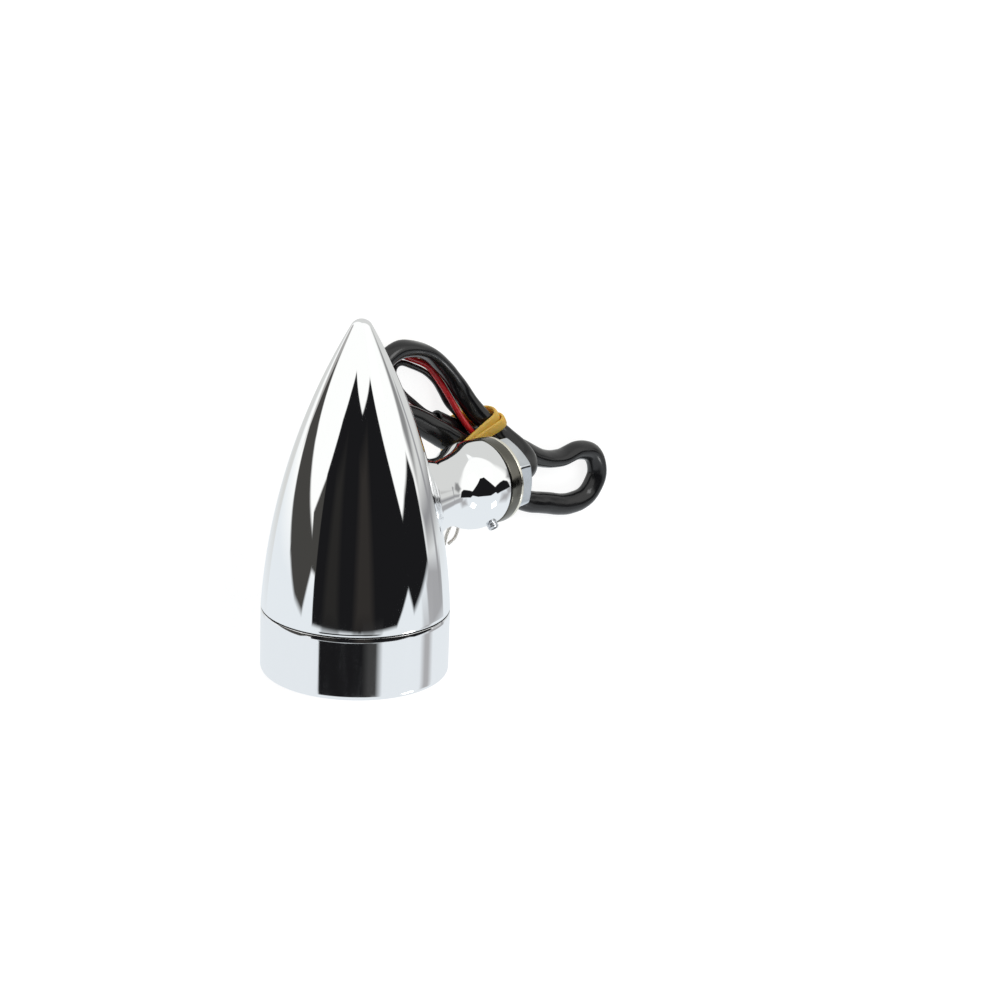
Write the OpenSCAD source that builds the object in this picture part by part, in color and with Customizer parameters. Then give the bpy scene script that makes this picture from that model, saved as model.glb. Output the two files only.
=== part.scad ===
// Bullet-shaped motorcycle turn signal with stem, stud, bulb and wiring.
// Units are millimetres. +X runs out along the stud, +Y toward the bullet's tip, +Z up.

/* [Bullet] */

// outer radius of the housing and bezel
bullet_r = 22.5; // [15:0.1:30]
// distance from the stem axis forward to the housing's front seam
seam_forward = 22.5; // [14:0.1:30]
// distance from the stem axis back to the pointed tip
tip_back = 47.5; // [35:0.1:60]
// radius of the rounded tip
tip_r = 2.8; // [1:0.1:5]
// wall thickness of the cast housing
wall = 2.2; // [1.2:0.1:3]
// length of the bezel ring
bezel_len = 15.6; // [8:0.1:20]
// gap between bezel and housing
seam_gap = 0.3; // [0.1:0.1:0.6]
// rounding of the bezel's front edge
bezel_round = 1.2; // [0.4:0.1:1.6]

/* [Stem] */

// distance from the collar's seat to the bullet's axis
reach = 44.5; // [36:0.1:55]
// smallest outer radius of the neck
waist_r = 8.6; // [7.8:0.1:10]
// largest outer radius of the domed end
dome_r = 10.9; // [9.6:0.1:13]
// direction of the set screw, from the front toward the top
screw_angle = 40; // [0:1:90]
// distance of the set screw from the collar's seat
screw_back = 6.2; // [5:0.1:7.4]

/* [Stud and fasteners] */

// radius of the hollow mounting stud
stud_r = 5.0; // [4:0.05:6]
// length of the stud beyond the collar
stud_len = 9.4; // [8:0.1:20]
// radius of the cable bore through the stud
cable_bore_r = 3.4; // [2.8:0.1:3.8]
// radius of the collar
collar_r = 10.7; // [8:0.1:13]
// thickness of the collar
collar_t = 3.2; // [2:0.1:5]
// width across flats of the nut
nut_af = 17; // [14:0.5:19]
// thickness of the nut
nut_t = 4.9; // [4:0.1:7]

/* [Cable] */

// diameter of the sleeve
sleeve_d = 5.5; // [4:0.1:5.6]
// diameter of one wire
wire_d = 1.5; // [1:0.1:1.8]

/* [Hidden] */

$fn = 96;
running = 0.05;
seam_y = -seam_forward;
bezel_back = seam_y - seam_gap;
bezel_front = bezel_back - bezel_len;
spigot_r = bullet_r - 2.3;
bore_r = spigot_r - 2.0;
seam_slope = atan(0.058);
ogive_len = tip_back - seam_y - tip_r;
ogive_a = (bullet_r * bullet_r + ogive_len * ogive_len - tip_r * tip_r)
    / (2 * (bullet_r * cos(seam_slope) - ogive_len * sin(seam_slope) - tip_r));
ogive_cr = bullet_r - ogive_a * cos(seam_slope);
ogive_cw = seam_y - ogive_a * sin(seam_slope);
tip_dir = atan2(tip_back - tip_r - ogive_cw, -ogive_cr);
dome_x = -collar_t - 0.3;
stem_base = -reach + 22.8;
pin_w = [2.0, 5.0];

// sleeve from inside the stud, round the hank, to its cut end
sleeve_path = [
    [-3, 0, 0], [3, 0, 0], [9.4, 0, 0], [12.8, 0.2, -0.4], [15.4, 1.3, -2.7],
    [16, 3.3, -6.2], [14.8, 5.9, -10], [12.8, 8.6, -12.8], [10.2, 11.2, -14.8],
    [7.6, 15, -16.6], [4.6, 20, -18], [-0.4, 25.6, -18.3], [-6.6, 29.9, -18.2],
    [-14.6, 31.4, -18.2], [-20.6, 28.2, -18.2], [-21.4, 22.2, -18], [-17, 17.2, -17.2],
    [-10.4, 13.6, -15.9], [-4.8, 9.9, -14.5], [1.6, 6, -14.1], [8, 1.7, -14.3],
    [14.2, -3.8, -16.3], [20.2, -8.8, -18.6], [26.5, -12.8, -19.7], [33, -17, -19.7],
    [41.2, -19.4, -19.7], [49.5, -21.4, -19.7], [57, -20.4, -19.7], [61, -15, -19.7],
    [59, -9.2, -19.7], [53, -7.2, -19.7], [46, -8, -19.7], [38.6, -6.6, -19.7],
    [29.2, -1.9, -19.7], [22.4, 1.4, -19.7], [16, 3.8, -19.3], [9.5, 6.2, -18.5],
    [3.6, 8.5, -18.8], [-0.9, 10.9, -19.3]
];

// wires from the cut end of the sleeve to where their insulation stops
red_path = [
    [-0.2, 10.5, -18.6], [-3, 12, -19.4], [-6.6, 14.4, -21.2], [-11, 17.4, -21.7],
    [-13.6, 21, -21.7], [-14.8, 25, -21.7], [-13.8, 27.8, -21.7], [-11.2, 28.7, -21.7],
    [-7.6, 27.4, -21.7], [-2.7, 25, -20.9], [0.2, 21.6, -20.1], [2.7, 17.4, -18.8],
    [4.1, 13.5, -16.8], [5.5, 9.8, -14.6], [7.6, 6.4, -12.9], [9.6, 3.2, -11.2],
    [10.4, -0.6, -11], [10.5, -5.4, -14], [10.4, -10.4, -18.4], [10.1, -14, -20.9],
    [9.6, -17.6, -21.7]
];
black_path = [
    [-0.2, 11.6, -19.6], [-3, 13.2, -20.8], [-6.2, 16, -21.7], [-9.6, 18.8, -21.7],
    [-12, 21.8, -21.7], [-13.2, 24.4, -21.7], [-12.6, 26.3, -21.7], [-10.6, 26.8, -21.7],
    [-7.4, 25.6, -21.7], [-2.6, 23.2, -21.7], [1, 20.2, -21.7], [3.4, 17, -21.7],
    [4.8, 14, -20.8], [5.6, 11.8, -18.4], [6.3, 10, -16.2], [8, 7.8, -14.4],
    [10.6, 4.8, -12.4], [12, 1, -11.6], [12.2, -3.6, -12.2], [12.2, -7.6, -15.4],
    [12, -11.6, -19.2], [11.6, -15, -21.4], [11, -17.8, -21.7]
];
yellow_path = [
    [-0.9, 10.3, -20], [-3.6, 11.4, -21], [-7, 13.2, -21.7], [-11.4, 16.2, -21.7],
    [-14.3, 19.9, -21.7], [-15.4, 25, -21.7], [-14.6, 28.6, -21.7], [-11.4, 30.1, -21.7],
    [-6.2, 28.8, -21.7], [-1, 25.2, -21.7], [2.4, 22, -21.7], [5, 18.6, -21.7],
    [7.4, 15.2, -21.7], [10, 12, -21.7]
];
tinned_paths = [
    [[9.6, -17.6, -21.7], [8.4, -19.6, -21.9], [7.2, -21.8, -21.9], [6.4, -24.2, -21.9]],
    [[11, -17.8, -21.7], [10.6, -20.2, -21.2], [9, -22.4, -20.7], [6.8, -23.6, -20.7]],
    [[10, 12, -21.7], [11.8, 10, -21.8], [13.4, 8.6, -22]]
];

// where the band crosses the three runs of sleeve: a point and a direction for each
band_runs = [
    [[1.6, 6, -14.2], [0.84, -0.54, 0]],
    [[5.4, 7.9, -18.8], [0.93, -0.38, 0]],
    [[10.9, 10.5, -14.3], [0.62, -0.62, 0.48]]
];
band_cross_runs = [
    [[2.4, 5.5, -14.2], [0.84, -0.54, 0]],
    [[6.6, 7.3, -18.7], [0.93, -0.38, 0]],
    [[12.2, 9.2, -13.3], [0.62, -0.62, 0.48]]
];
band_w = 2.8;
band_t = 1;

// ---- placing and sweeping helpers

module on_bullet() {
    translate([-reach, 0, 0]) rotate([-90, 0, 0]) children();
}

module on_stem() {
    rotate([0, 90, 0]) children();
}

module on_screw() {
    translate([-screw_back, 0, 0]) rotate([90 - screw_angle, 0, 0]) children();
}

function unit(v) = v / norm(v);
function along(p, i) =
    unit(p[min(i + 1, len(p) - 1)] - p[max(i - 1, 0)]);
function carry(a, t) = unit(a - (a * t) * t);
function frames(p, i = 0, a = [0, 0.2, 1], out = []) =
    i >= len(p) ? out
    : let (t = along(p, i), u = carry(a, t)) frames(p, i + 1, u, concat(out, [[u, cross(t, u)]]));

module tube_along(p, d, sides) {
    f = frames(p);
    r = d / 2;
    n = len(p);
    pts = [
        for (i = [0 : n - 1], k = [0 : sides - 1])
            p[i] + r * cos(360 * k / sides) * f[i][0] + r * sin(360 * k / sides) * f[i][1]
    ];
    faces = concat(
        [[for (k = [0 : sides - 1]) k]],
        [
            for (i = [0 : n - 2], k = [0 : sides - 1])
                let (a = i * sides + k, b = i * sides + (k + 1) % sides)
                    [a, a + sides, b + sides, b]
        ],
        [[for (k = [sides - 1 : -1 : 0]) (n - 1) * sides + k]]
    );
    polyhedron(points = pts, faces = faces, convexity = 10);
}

// ---- profiles

function ogive_arc(inset, w_from, w_to, n) = [
    for (i = [0 : n])
        let (w = w_from + (w_to - w_from) * i / n, a = ogive_a - inset)
            [ogive_cr + sqrt(a * a - (w - ogive_cw) * (w - ogive_cw)), w]
];

module ogive_outline() {
    w_end = ogive_cw + ogive_a * sin(tip_dir);
    polygon(concat(
        [[0, seam_y]],
        ogive_arc(0, seam_y, w_end, 28),
        [for (i = [1 : 6])
            let (a = tip_dir + (90 - tip_dir) * i / 6)
                [tip_r * cos(a), tip_back - tip_r + tip_r * sin(a)]]
    ));
}

module cavity_outline() {
    a = ogive_a - wall;
    w_join = ogive_cw + sqrt(a * a - (bore_r - ogive_cr) * (bore_r - ogive_cr));
    polygon(concat(
        [[0, seam_y - 8], [spigot_r - 1.3, seam_y - 8], [spigot_r - 1.3, -28],
            [bore_r, -28]],
        ogive_arc(wall, w_join, 40.5, 20),
        [[0, 42.2]]
    ));
}

// neck radius against distance from the bullet's axis
function neck_r(d) =
    d < 22.65 ? 9.50 + 0.35 * (22.65 - d)
    : d < 27.93 ? waist_r + 16 - sqrt(256 - (27.93 - d) * (27.93 - d))
    : d < 32.7 ? waist_r + 10 - sqrt(100 - (d - 27.93) * (d - 27.93))
    : d < 37 ? dome_r - 9 + sqrt(81 - (37 - d) * (37 - d))
    : dome_r - 25 + sqrt(625 - (d - 37) * (d - 37));

module neck_outline(d_from, d_to, n) {
    polygon(concat(
        [[0, d_from - reach]],
        [for (i = [0 : n])
            let (d = d_from + (d_to - d_from) * i / n)
                [neck_r(d), d - reach]],
        [[0, d_to - reach]]
    ));
}

// ---- stud, cable and band

module mount_stud() {
    color([0.32, 0.31, 0.27])
        on_stem() rotate_extrude() polygon([
                [cable_bore_r, -13.2], [6.55, -13.2], [6.95, -12.8],
                [6.95, -7.7], [6.1, -7.7], [6.1, -4.7], [6.95, -4.7], [6.95, -collar_t],
                [collar_r - 0.3, -collar_t], [collar_r, -collar_t + 0.3],
                [collar_r, -0.3], [collar_r - 0.3, 0], [stud_r, 0], [stud_r, 6.2],
                [stud_r - 0.5, 6.2], [stud_r - 0.5, 6.8], [stud_r, 6.8],
                [stud_r, stud_len - 0.4], [stud_r - 0.4, stud_len], [cable_bore_r, stud_len]
            ]);
}

module cable_grommet() {
    color([0.05, 0.05, 0.05])
        on_stem() rotate_extrude() polygon([
            [2.8, stud_len - 2], [cable_bore_r, stud_len - 2], [cable_bore_r, stud_len],
            [4.2, stud_len], [4.0, stud_len + 0.5], [2.8, stud_len + 0.5]
        ]);
}

module cable_sleeve() {
    color([0.03, 0.03, 0.03]) tube_along(sleeve_path, sleeve_d, 12);
}

module wire_red() {
    color([0.75, 0.04, 0.05]) tube_along(red_path, wire_d, 8);
}

module wire_yellow() {
    color([0.9, 0.65, 0.05]) tube_along(yellow_path, wire_d, 8);
}

module wire_black() {
    color([0.03, 0.03, 0.03]) tube_along(black_path, wire_d, 8);
}

module wire_ends() {
    color([0.68, 0.68, 0.66])
        for (p = tinned_paths) tube_along(p, 0.9, 8);
}

// outline of one run of sleeve where the upright plane along u cuts it
module run_section(from, u, n, run) {
    translate([(run[0] - from) * u, run[0][2]])
        rotate([0, 0, atan2(run[1][2], run[1] * u)])
            scale([norm(run[1]) / abs(run[1] * n), 1, 1])
                circle(r = sleeve_d / 2 + 0.1, $fn = 32);
}

module band_loop(runs) {
    from = [runs[0][0][0], runs[0][0][1], 0];
    flat = runs[2][0] - from;
    u = unit([flat[0], flat[1], 0]);
    n = [u[1], -u[0], 0];
    multmatrix([
        [u[0], 0, n[0], from[0]], [u[1], 0, n[1], from[1]],
        [0, 1, 0, 0], [0, 0, 0, 1]
    ])
        linear_extrude(band_w, center = true) difference() {
            offset(r = band_t) hull() for (r = runs) run_section(from, u, n, r);
            hull() for (r = runs) run_section(from, u, n, r);
        }
}

module rubber_band() {
    color([0.85, 0.6, 0.2]) {
        band_loop(band_runs);
        band_loop(band_cross_runs);
    }
}

// ---- nut and washer

module flat_washer() {
    color([0.85, 0.83, 0.72])
        on_stem() translate([0, 0, 0.1]) difference() {
            cylinder(h = 0.9, r = collar_r - 0.1);
            translate([0, 0, -1]) cylinder(h = 3, r = stud_r + 0.25);
        }
}

module mount_nut() {
    color([0.72, 0.75, 0.8])
        on_stem() translate([0, 0, 1.1]) difference() {
            intersection() {
                cylinder(h = nut_t, r = nut_af / 2 / cos(30), $fn = 6);
                rotate_extrude() polygon([
                    [0, 0], [nut_af / 2, 0], [nut_af / 2 + 1.4, 0.8],
                    [nut_af / 2 + 1.4, nut_t - 0.8], [nut_af / 2, nut_t], [0, nut_t]
                ]);
            }
            translate([0, 0, -1]) cylinder(h = nut_t + 2, r = stud_r + running);
        }
}

// ---- stem and its fixings

module stem_arm() {
    color([0.86, 0.87, 0.88]) difference() {
        on_stem() rotate_extrude() neck_outline(22.8, reach + dome_x, 26);
        on_stem() translate([0, 0, stem_base - 1]) cylinder(h = 20, r = 5.0);
        on_stem() translate([0, 0, -13.5]) cylinder(h = 20, r = 7.0);
        on_screw() cylinder(h = 16, r = 1.45 + running);
    }
}

module stem_gasket() {
    color([0.06, 0.06, 0.06])
        on_stem() translate([0, 0, stem_base - 0.6]) difference() {
            cylinder(h = 0.6, r = 9.4);
            translate([0, 0, -1]) cylinder(h = 3, r = 5.3);
        }
}

module stem_bolt() {
    color([0.7, 0.72, 0.75])
        on_stem() translate([0, 0, -reach]) difference() {
            union() {
                translate([0, 0, 12.9]) cylinder(h = 2.75, r = 7.5 / cos(30), $fn = 6);
                translate([0, 0, 15.6]) cylinder(h = 14.9, r = 4.95);
            }
            translate([0, 0, 12]) cylinder(h = 20, r = 2.6);
        }
}

module stem_lock_washer() {
    color([0.75, 0.75, 0.75])
        on_stem() translate([0, 0, 15.7 - reach]) difference() {
            cylinder(h = 1.25, r = 8.2);
            translate([0, 0, -1]) cylinder(h = 4, r = 5.1);
            rotate([0, 0, 40]) translate([4, -0.5, -1]) cube([6, 1, 4]);
        }
}

module set_screw() {
    color([0.75, 0.75, 0.76])
        on_screw() difference() {
            translate([0, 0, 6.3]) cylinder(h = 6, r = 1.45, $fn = 48);
            translate([0, 0, 10.5]) cylinder(h = 3, r = 0.75 / cos(30), $fn = 6);
        }
}

// ---- housing and what it holds

module bullet_housing() {
    color([0.86, 0.87, 0.88]) difference() {
        union() {
            difference() {
                union() {
                    on_bullet() rotate_extrude() ogive_outline();
                    on_bullet() translate([0, 0, seam_y - 7]) cylinder(h = 7.5, r = spigot_r);
                    on_stem() translate([0, 0, 15 - reach])
                        cylinder(h = 7.2, r1 = neck_r(15), r2 = neck_r(22.2));
                }
                on_bullet() rotate_extrude() cavity_outline();
                on_stem() translate([0, 0, 10 - reach]) cylinder(h = 7, r = 8.8);
            }
            on_stem() translate([0, 0, 17 - reach]) cylinder(h = 3, r = 8.8);
        }
        on_stem() translate([0, 0, 12 - reach]) cylinder(h = 12, r = 5.2);
    }
}

function bowl_r(t) = sqrt(70.6 + 232.2 * t);

module reflector() {
    color([0.8, 0.8, 0.82]) difference() {
        on_bullet() rotate_extrude() polygon(concat(
            [for (i = [0 : 14]) [bowl_r(i / 14), -5.5 - 22.5 * i / 14]],
            [[17.4, -28.5], [18.8, -28.5], [18.8, -28]],
            [for (i = [14 : -1 : 1]) [bowl_r(i / 14) + 0.6, -5.5 - 22.5 * i / 14]],
            [[bowl_r(0) + 0.6, -5.6], [10.4, -5.6], [10.4, -5], [8.35, -5]]
        ));
        entry_slots();
        on_bullet() rivet_bodies(0.4);
    }
}

// straight slots the bulb's pins enter by, and the windows they turn and sit in
module entry_slots() {
    for (i = [0, 1])
        on_bullet() rotate([0, 0, 35 + 180 * i])
            translate([6.5, -1.25, -7]) cube([2.8, 2.5, 7 + pin_w[i]]);
}

module pin_windows() {
    for (i = [0, 1])
        on_bullet() rotate([0, 0, 26 + 180 * i]) rotate_extrude(angle = 43)
            translate([7, pin_w[i] - 1.2]) square([2.4, 4.9]);
}

module socket_shell() {
    color([0.78, 0.79, 0.8]) difference() {
        on_bullet() difference() {
            union() {
                translate([0, 0, -5]) cylinder(h = 23.3, r = 8.3);
                translate([0, 0, -5]) cylinder(h = 0.5, r = 10.6);
            }
            translate([0, 0, -6]) cylinder(h = 26, r = 7.75);
            rivet_bodies(0.4);
        }
        entry_slots();
        pin_windows();
    }
}

module rivet_bodies(r) {
    for (a = [0, 120, 240])
        rotate([0, 0, a]) translate([9.7, 0, -5.6]) cylinder(h = 1.1, r = r, $fn = 24);
}

module socket_rivets() {
    color([0.7, 0.65, 0.5]) on_bullet() {
        rivet_bodies(0.4);
        for (a = [0, 120, 240], w = [-6, -4.5])
            rotate([0, 0, a]) translate([9.7, 0, w]) cylinder(h = 0.4, r = 0.6, $fn = 24);
    }
}

module socket_cap() {
    color([0.25, 0.14, 0.07])
        on_bullet() translate([0, 0, 16]) cylinder(h = 2.3, r = 7.75);
}

function coil(r, w0, w1, turns, steps) = [
    for (i = [0 : turns * steps])
        [r * cos(360 * i / steps), r * sin(360 * i / steps), w0 + (w1 - w0) * i / turns / steps]
];

module contact_spring() {
    color([0.7, 0.7, 0.72])
        on_bullet() tube_along(coil(5.6, 11.55, 15.65, 3, 20), 0.7, 8);
}

// a lead from the socket's cap, over the shell and out through the hollow bolt
function lead_path(s, y, z) = [
    [-40.5, 18.3, 1.8 * s], [-40.4, 20.6, 1.8 * s], [-38.8, 22.2, 1.8 * s],
    [-36.4, 21.8, 1.8 * s], [-34.8, 19.2, 1.7 * s], [-34.2, 13, 1.7 * s],
    [-34, 6.6, 1.7 * s], [-33.6, 3.4, 1.6 * s], [-32.5, 1 + y, z], [-30, y, z],
    [-22, y, z], [-14, y, z], [-3.3, y, z]
];

module lead_red() {
    color([0.75, 0.04, 0.05]) tube_along(lead_path(-1, -0.5, -0.86), 1.4, 8);
}

module lead_yellow() {
    color([0.9, 0.65, 0.05]) tube_along(lead_path(0, 1, 0), 1.4, 8);
}

module lead_black() {
    color([0.03, 0.03, 0.03]) tube_along(lead_path(1, -0.5, 0.86), 1.4, 8);
}

// ---- lens and bezel

function cap_w(apex, r) = apex + 65.7 - sqrt(65.7 * 65.7 - r * r);

module lens() {
    color([0.95, 0.5, 0.08])
        on_bullet() rotate_extrude() polygon(concat(
            [[16.3, -30.9], [19.8, -30.9], [19.8, -32.7], [18.3, -32.7]],
            [for (i = [0 : 10]) let (r = 18.3 * (1 - i / 10)) [r, cap_w(-38, r)]],
            [for (i = [0 : 10]) let (r = 16.3 * i / 10) [r, cap_w(-36, r)]]
        ));
}

module lens_gasket() {
    color([0.06, 0.06, 0.06])
        on_bullet() translate([0, 0, -30.9]) difference() {
            cylinder(h = 1.1, r = 19.8);
            translate([0, 0, -1]) cylinder(h = 4, r = 18.3);
        }
}

module bezel_ring() {
    color([0.86, 0.87, 0.88])
        on_bullet() rotate_extrude() polygon(concat(
            [[spigot_r + running, bezel_back], [bullet_r - 0.2, bezel_back],
                [bullet_r, bezel_back - 0.2]],
            [for (i = [0 : 5])
                let (a = 90 * i / 5)
                    [bullet_r - bezel_round + bezel_round * cos(a),
                        bezel_front + bezel_round - bezel_round * sin(a)]],
            [[18.6, bezel_front], [18.6, -33], [20.1, -33], [20.1, -30.5],
                [spigot_r + running, -30.5]]
        ));
}

// ---- sprung contacts and bulb

module contact_plate() {
    color([0.25, 0.14, 0.07])
        on_bullet() translate([0, 0, 9.25]) cylinder(h = 1.95, r = 7.6);
}

module contact_tips() {
    color([0.8, 0.68, 0.35])
        on_bullet() for (x = [-2.6, 2.6])
            translate([x, 0, 8.8]) cylinder(h = 0.45, r = 1.3, $fn = 32);
}

module pin_bodies(r_from, r_to) {
    for (i = [0, 1])
        rotate([0, 0, 60 + 180 * i]) translate([r_from, 0, pin_w[i]])
            rotate([0, 90, 0]) cylinder(h = r_to - r_from, r = 1, $fn = 32);
}

module bulb_base() {
    color([0.8, 0.7, 0.4])
        on_bullet() difference() {
            translate([0, 0, -4]) cylinder(h = 12, r = 7.55);
            translate([0, 0, -5]) cylinder(h = 14, r = 7.05);
            pin_bodies(5, 9);
        }
}

module bulb_pins() {
    color([0.8, 0.7, 0.4]) on_bullet() pin_bodies(6.6, 8.9);
}

module bulb_insulator() {
    color([0.1, 0.1, 0.1])
        on_bullet() translate([0, 0, 6.6]) cylinder(h = 1.4, r = 7.05);
}

module bulb_tips() {
    color([0.75, 0.75, 0.76])
        on_bullet() for (x = [-2.6, 2.6])
            translate([x, 0, 8]) cylinder(h = 0.5, r = 1.2, $fn = 32);
}

module globe_outline(r_neck, r_globe) {
    d = sqrt(r_globe * r_globe - r_neck * r_neck);
    a0 = atan2(d, r_neck);
    polygon(concat(
        [[0, -1], [r_neck, -1]],
        [for (i = [0 : 18])
            let (a = a0 + (-90 - a0) * i / 18)
                [max(0, r_globe * cos(a)), -17.3 + r_globe * sin(a)]]
    ));
}

module bulb_glass() {
    color([0.9, 0.92, 0.92, 0.35])
        on_bullet() rotate_extrude() difference() {
            globe_outline(6.9, 9.2);
            globe_outline(6.2, 8.5);
        }
}

module bulb_stem() {
    color([0.8, 0.85, 0.85, 0.6])
        on_bullet() rotate_extrude() polygon([
            [0, -1], [6.2, -1], [6.2, -2.2], [4.6, -2.6], [4.3, -6], [3.4, -8], [0, -8]
        ]);
}

module filament_posts() {
    color([0.6, 0.6, 0.6])
        on_bullet() for (x = [-3.2, 3.2], y = [[1.3, -17.4], [-1.3, -14.4]])
            translate([x, y[0], y[1]]) cylinder(h = -y[1] - 8, r = 0.25, $fn = 16);
}

module filament_turn() {
    color([0.5, 0.5, 0.5])
        on_bullet() translate([-2.95, 1.3, -17.2]) rotate([0, 90, 0])
            cylinder(h = 5.9, r = 0.35, $fn = 16);
}

module filament_run() {
    color([0.5, 0.5, 0.5])
        on_bullet() translate([-2.95, -1.3, -14.2]) rotate([0, 90, 0])
            cylinder(h = 5.9, r = 0.25, $fn = 16);
}

mount_stud();
cable_grommet();
cable_sleeve();
wire_red();
wire_yellow();
wire_black();
wire_ends();
rubber_band();
flat_washer();
mount_nut();
stem_arm();
stem_gasket();
stem_bolt();
stem_lock_washer();
bullet_housing();
reflector();
socket_shell();
socket_rivets();
socket_cap();
contact_spring();
lead_red();
lead_yellow();
lead_black();
lens();
lens_gasket();
bezel_ring();
set_screw();
contact_plate();
contact_tips();
bulb_base();
bulb_glass();
bulb_stem();
bulb_insulator();
bulb_tips();
bulb_pins();
filament_turn();
filament_run();
filament_posts();
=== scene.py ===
"""Visual model of the bullet turn signal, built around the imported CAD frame.

Lengths are millimetres in the CAD's frame: +X runs out along the stud, +Y toward the
bullet's tip, +Z up. mm() turns them into metres. The stem's axis is the X axis, and the
bullet's axis runs along Y at BULLET_X.

The file builds, in this order: camera, materials, cords, rubber band, chrome shells,
stud and its hardware, lens and bulb, finishes of the plain CAD pieces, and the studio.
"""
import math

import bmesh
import bpy
from mathutils import Matrix, Vector


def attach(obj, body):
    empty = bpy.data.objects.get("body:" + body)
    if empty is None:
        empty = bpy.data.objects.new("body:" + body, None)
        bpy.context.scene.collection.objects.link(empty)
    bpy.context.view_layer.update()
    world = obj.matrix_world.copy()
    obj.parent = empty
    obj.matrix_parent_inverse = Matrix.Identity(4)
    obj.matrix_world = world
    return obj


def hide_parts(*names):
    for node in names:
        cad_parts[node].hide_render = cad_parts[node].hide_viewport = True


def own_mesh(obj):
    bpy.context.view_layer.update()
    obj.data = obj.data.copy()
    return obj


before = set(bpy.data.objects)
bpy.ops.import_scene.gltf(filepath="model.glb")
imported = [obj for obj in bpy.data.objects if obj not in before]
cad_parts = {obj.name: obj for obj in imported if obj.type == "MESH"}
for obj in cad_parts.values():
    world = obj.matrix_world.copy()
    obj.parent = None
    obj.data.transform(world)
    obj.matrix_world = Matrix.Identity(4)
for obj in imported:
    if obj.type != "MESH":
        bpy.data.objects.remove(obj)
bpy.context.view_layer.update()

BULLET_X = -44.5
FLOOR_Z = -22.5
FLOOR_GAP = 0.02
SCREW_X = -6.2
SCREW_TILT = math.radians(40)
BORE_R = 3.4
TAU = 2 * math.pi


def mm(p):
    """A point or length vector in millimetres, as metres."""
    return Vector(p) * 0.001


# ---- camera ---------------------------------------------------------------

def add_camera():
    """A long lens above the lamp: the tip points up the picture and the stem to the right."""
    right = Vector((0.70122, 0.03656, 0.71201))
    up = Vector((0.19196, 0.95212, -0.23795))
    back = Vector((-0.68662, 0.30353, 0.66063))
    data = bpy.data.cameras.new("camera")
    data.sensor_width = 36
    data.lens = 102.1
    data.clip_start, data.clip_end = 0.01, 50
    cam = bpy.data.objects.new("camera", data)
    bpy.context.scene.collection.objects.link(cam)
    turn = Matrix((right, up, back)).transposed().to_4x4()
    cam.matrix_world = Matrix.Translation(mm((-478.77, 207.19, 464.15))) @ turn
    bpy.context.scene.camera = cam


add_camera()


# ---- materials ------------------------------------------------------------

def shader(m):
    return m.node_tree.nodes["Principled BSDF"]


def principled(name, colour, metallic=0.0, roughness=0.4, **sockets):
    """A plain material. Further sockets are named with underscores for spaces."""
    m = bpy.data.materials.new(name)
    m.use_nodes = True
    s = shader(m)
    s.inputs["Base Color"].default_value = (*colour, 1)
    s.inputs["Metallic"].default_value = metallic
    s.inputs["Roughness"].default_value = roughness
    for key, value in sockets.items():
        s.inputs[key.replace("_", " ")].default_value = value
    return m


def add_noise(m, scale, stretch=(1, 1, 1)):
    """Noise in the object's own coordinates, which are metres."""
    nt = m.node_tree
    coord = nt.nodes.new("ShaderNodeTexCoord")
    place = nt.nodes.new("ShaderNodeMapping")
    place.inputs["Scale"].default_value = stretch
    noise = nt.nodes.new("ShaderNodeTexNoise")
    noise.inputs["Scale"].default_value = scale
    noise.inputs["Detail"].default_value = 2.0
    nt.links.new(coord.outputs["Object"], place.inputs["Vector"])
    nt.links.new(place.outputs["Vector"], noise.inputs["Vector"])
    return noise.outputs["Fac"]


def add_bump(m, height, distance, strength=1.0):
    nt = m.node_tree
    bump = nt.nodes.new("ShaderNodeBump")
    bump.inputs["Distance"].default_value = distance
    bump.inputs["Strength"].default_value = strength
    nt.links.new(height, bump.inputs["Height"])
    nt.links.new(bump.outputs["Normal"], shader(m).inputs["Normal"])


def vary(m, socket, factor, low, high):
    """Lets the noise factor move a socket between two values or two colours."""
    nt = m.node_tree
    target = shader(m).inputs[socket]
    if isinstance(low, tuple):
        mix = nt.nodes.new("ShaderNodeMixRGB")
        mix.inputs[1].default_value = (*low, 1)
        mix.inputs[2].default_value = (*high, 1)
        nt.links.new(factor, mix.inputs[0])
        nt.links.new(mix.outputs[0], target)
        return
    span = nt.nodes.new("ShaderNodeMapRange")
    span.inputs["From Min"].default_value = 0.3
    span.inputs["From Max"].default_value = 0.7
    span.inputs["To Min"].default_value = low
    span.inputs["To Max"].default_value = high
    nt.links.new(factor, span.inputs["Value"])
    nt.links.new(span.outputs["Result"], target)


def textured(name, colour, metallic, low, high, scale, stretch=(1, 1, 1), bump=0.0, **sockets):
    """A material whose roughness wanders from low to high, with a bump of that height in metres."""
    m = principled(name, colour, metallic, (low + high) / 2, **sockets)
    grain = add_noise(m, scale, stretch)
    vary(m, "Roughness", grain, low, high)
    if bump:
        add_bump(m, grain, bump)
    return m


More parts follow.
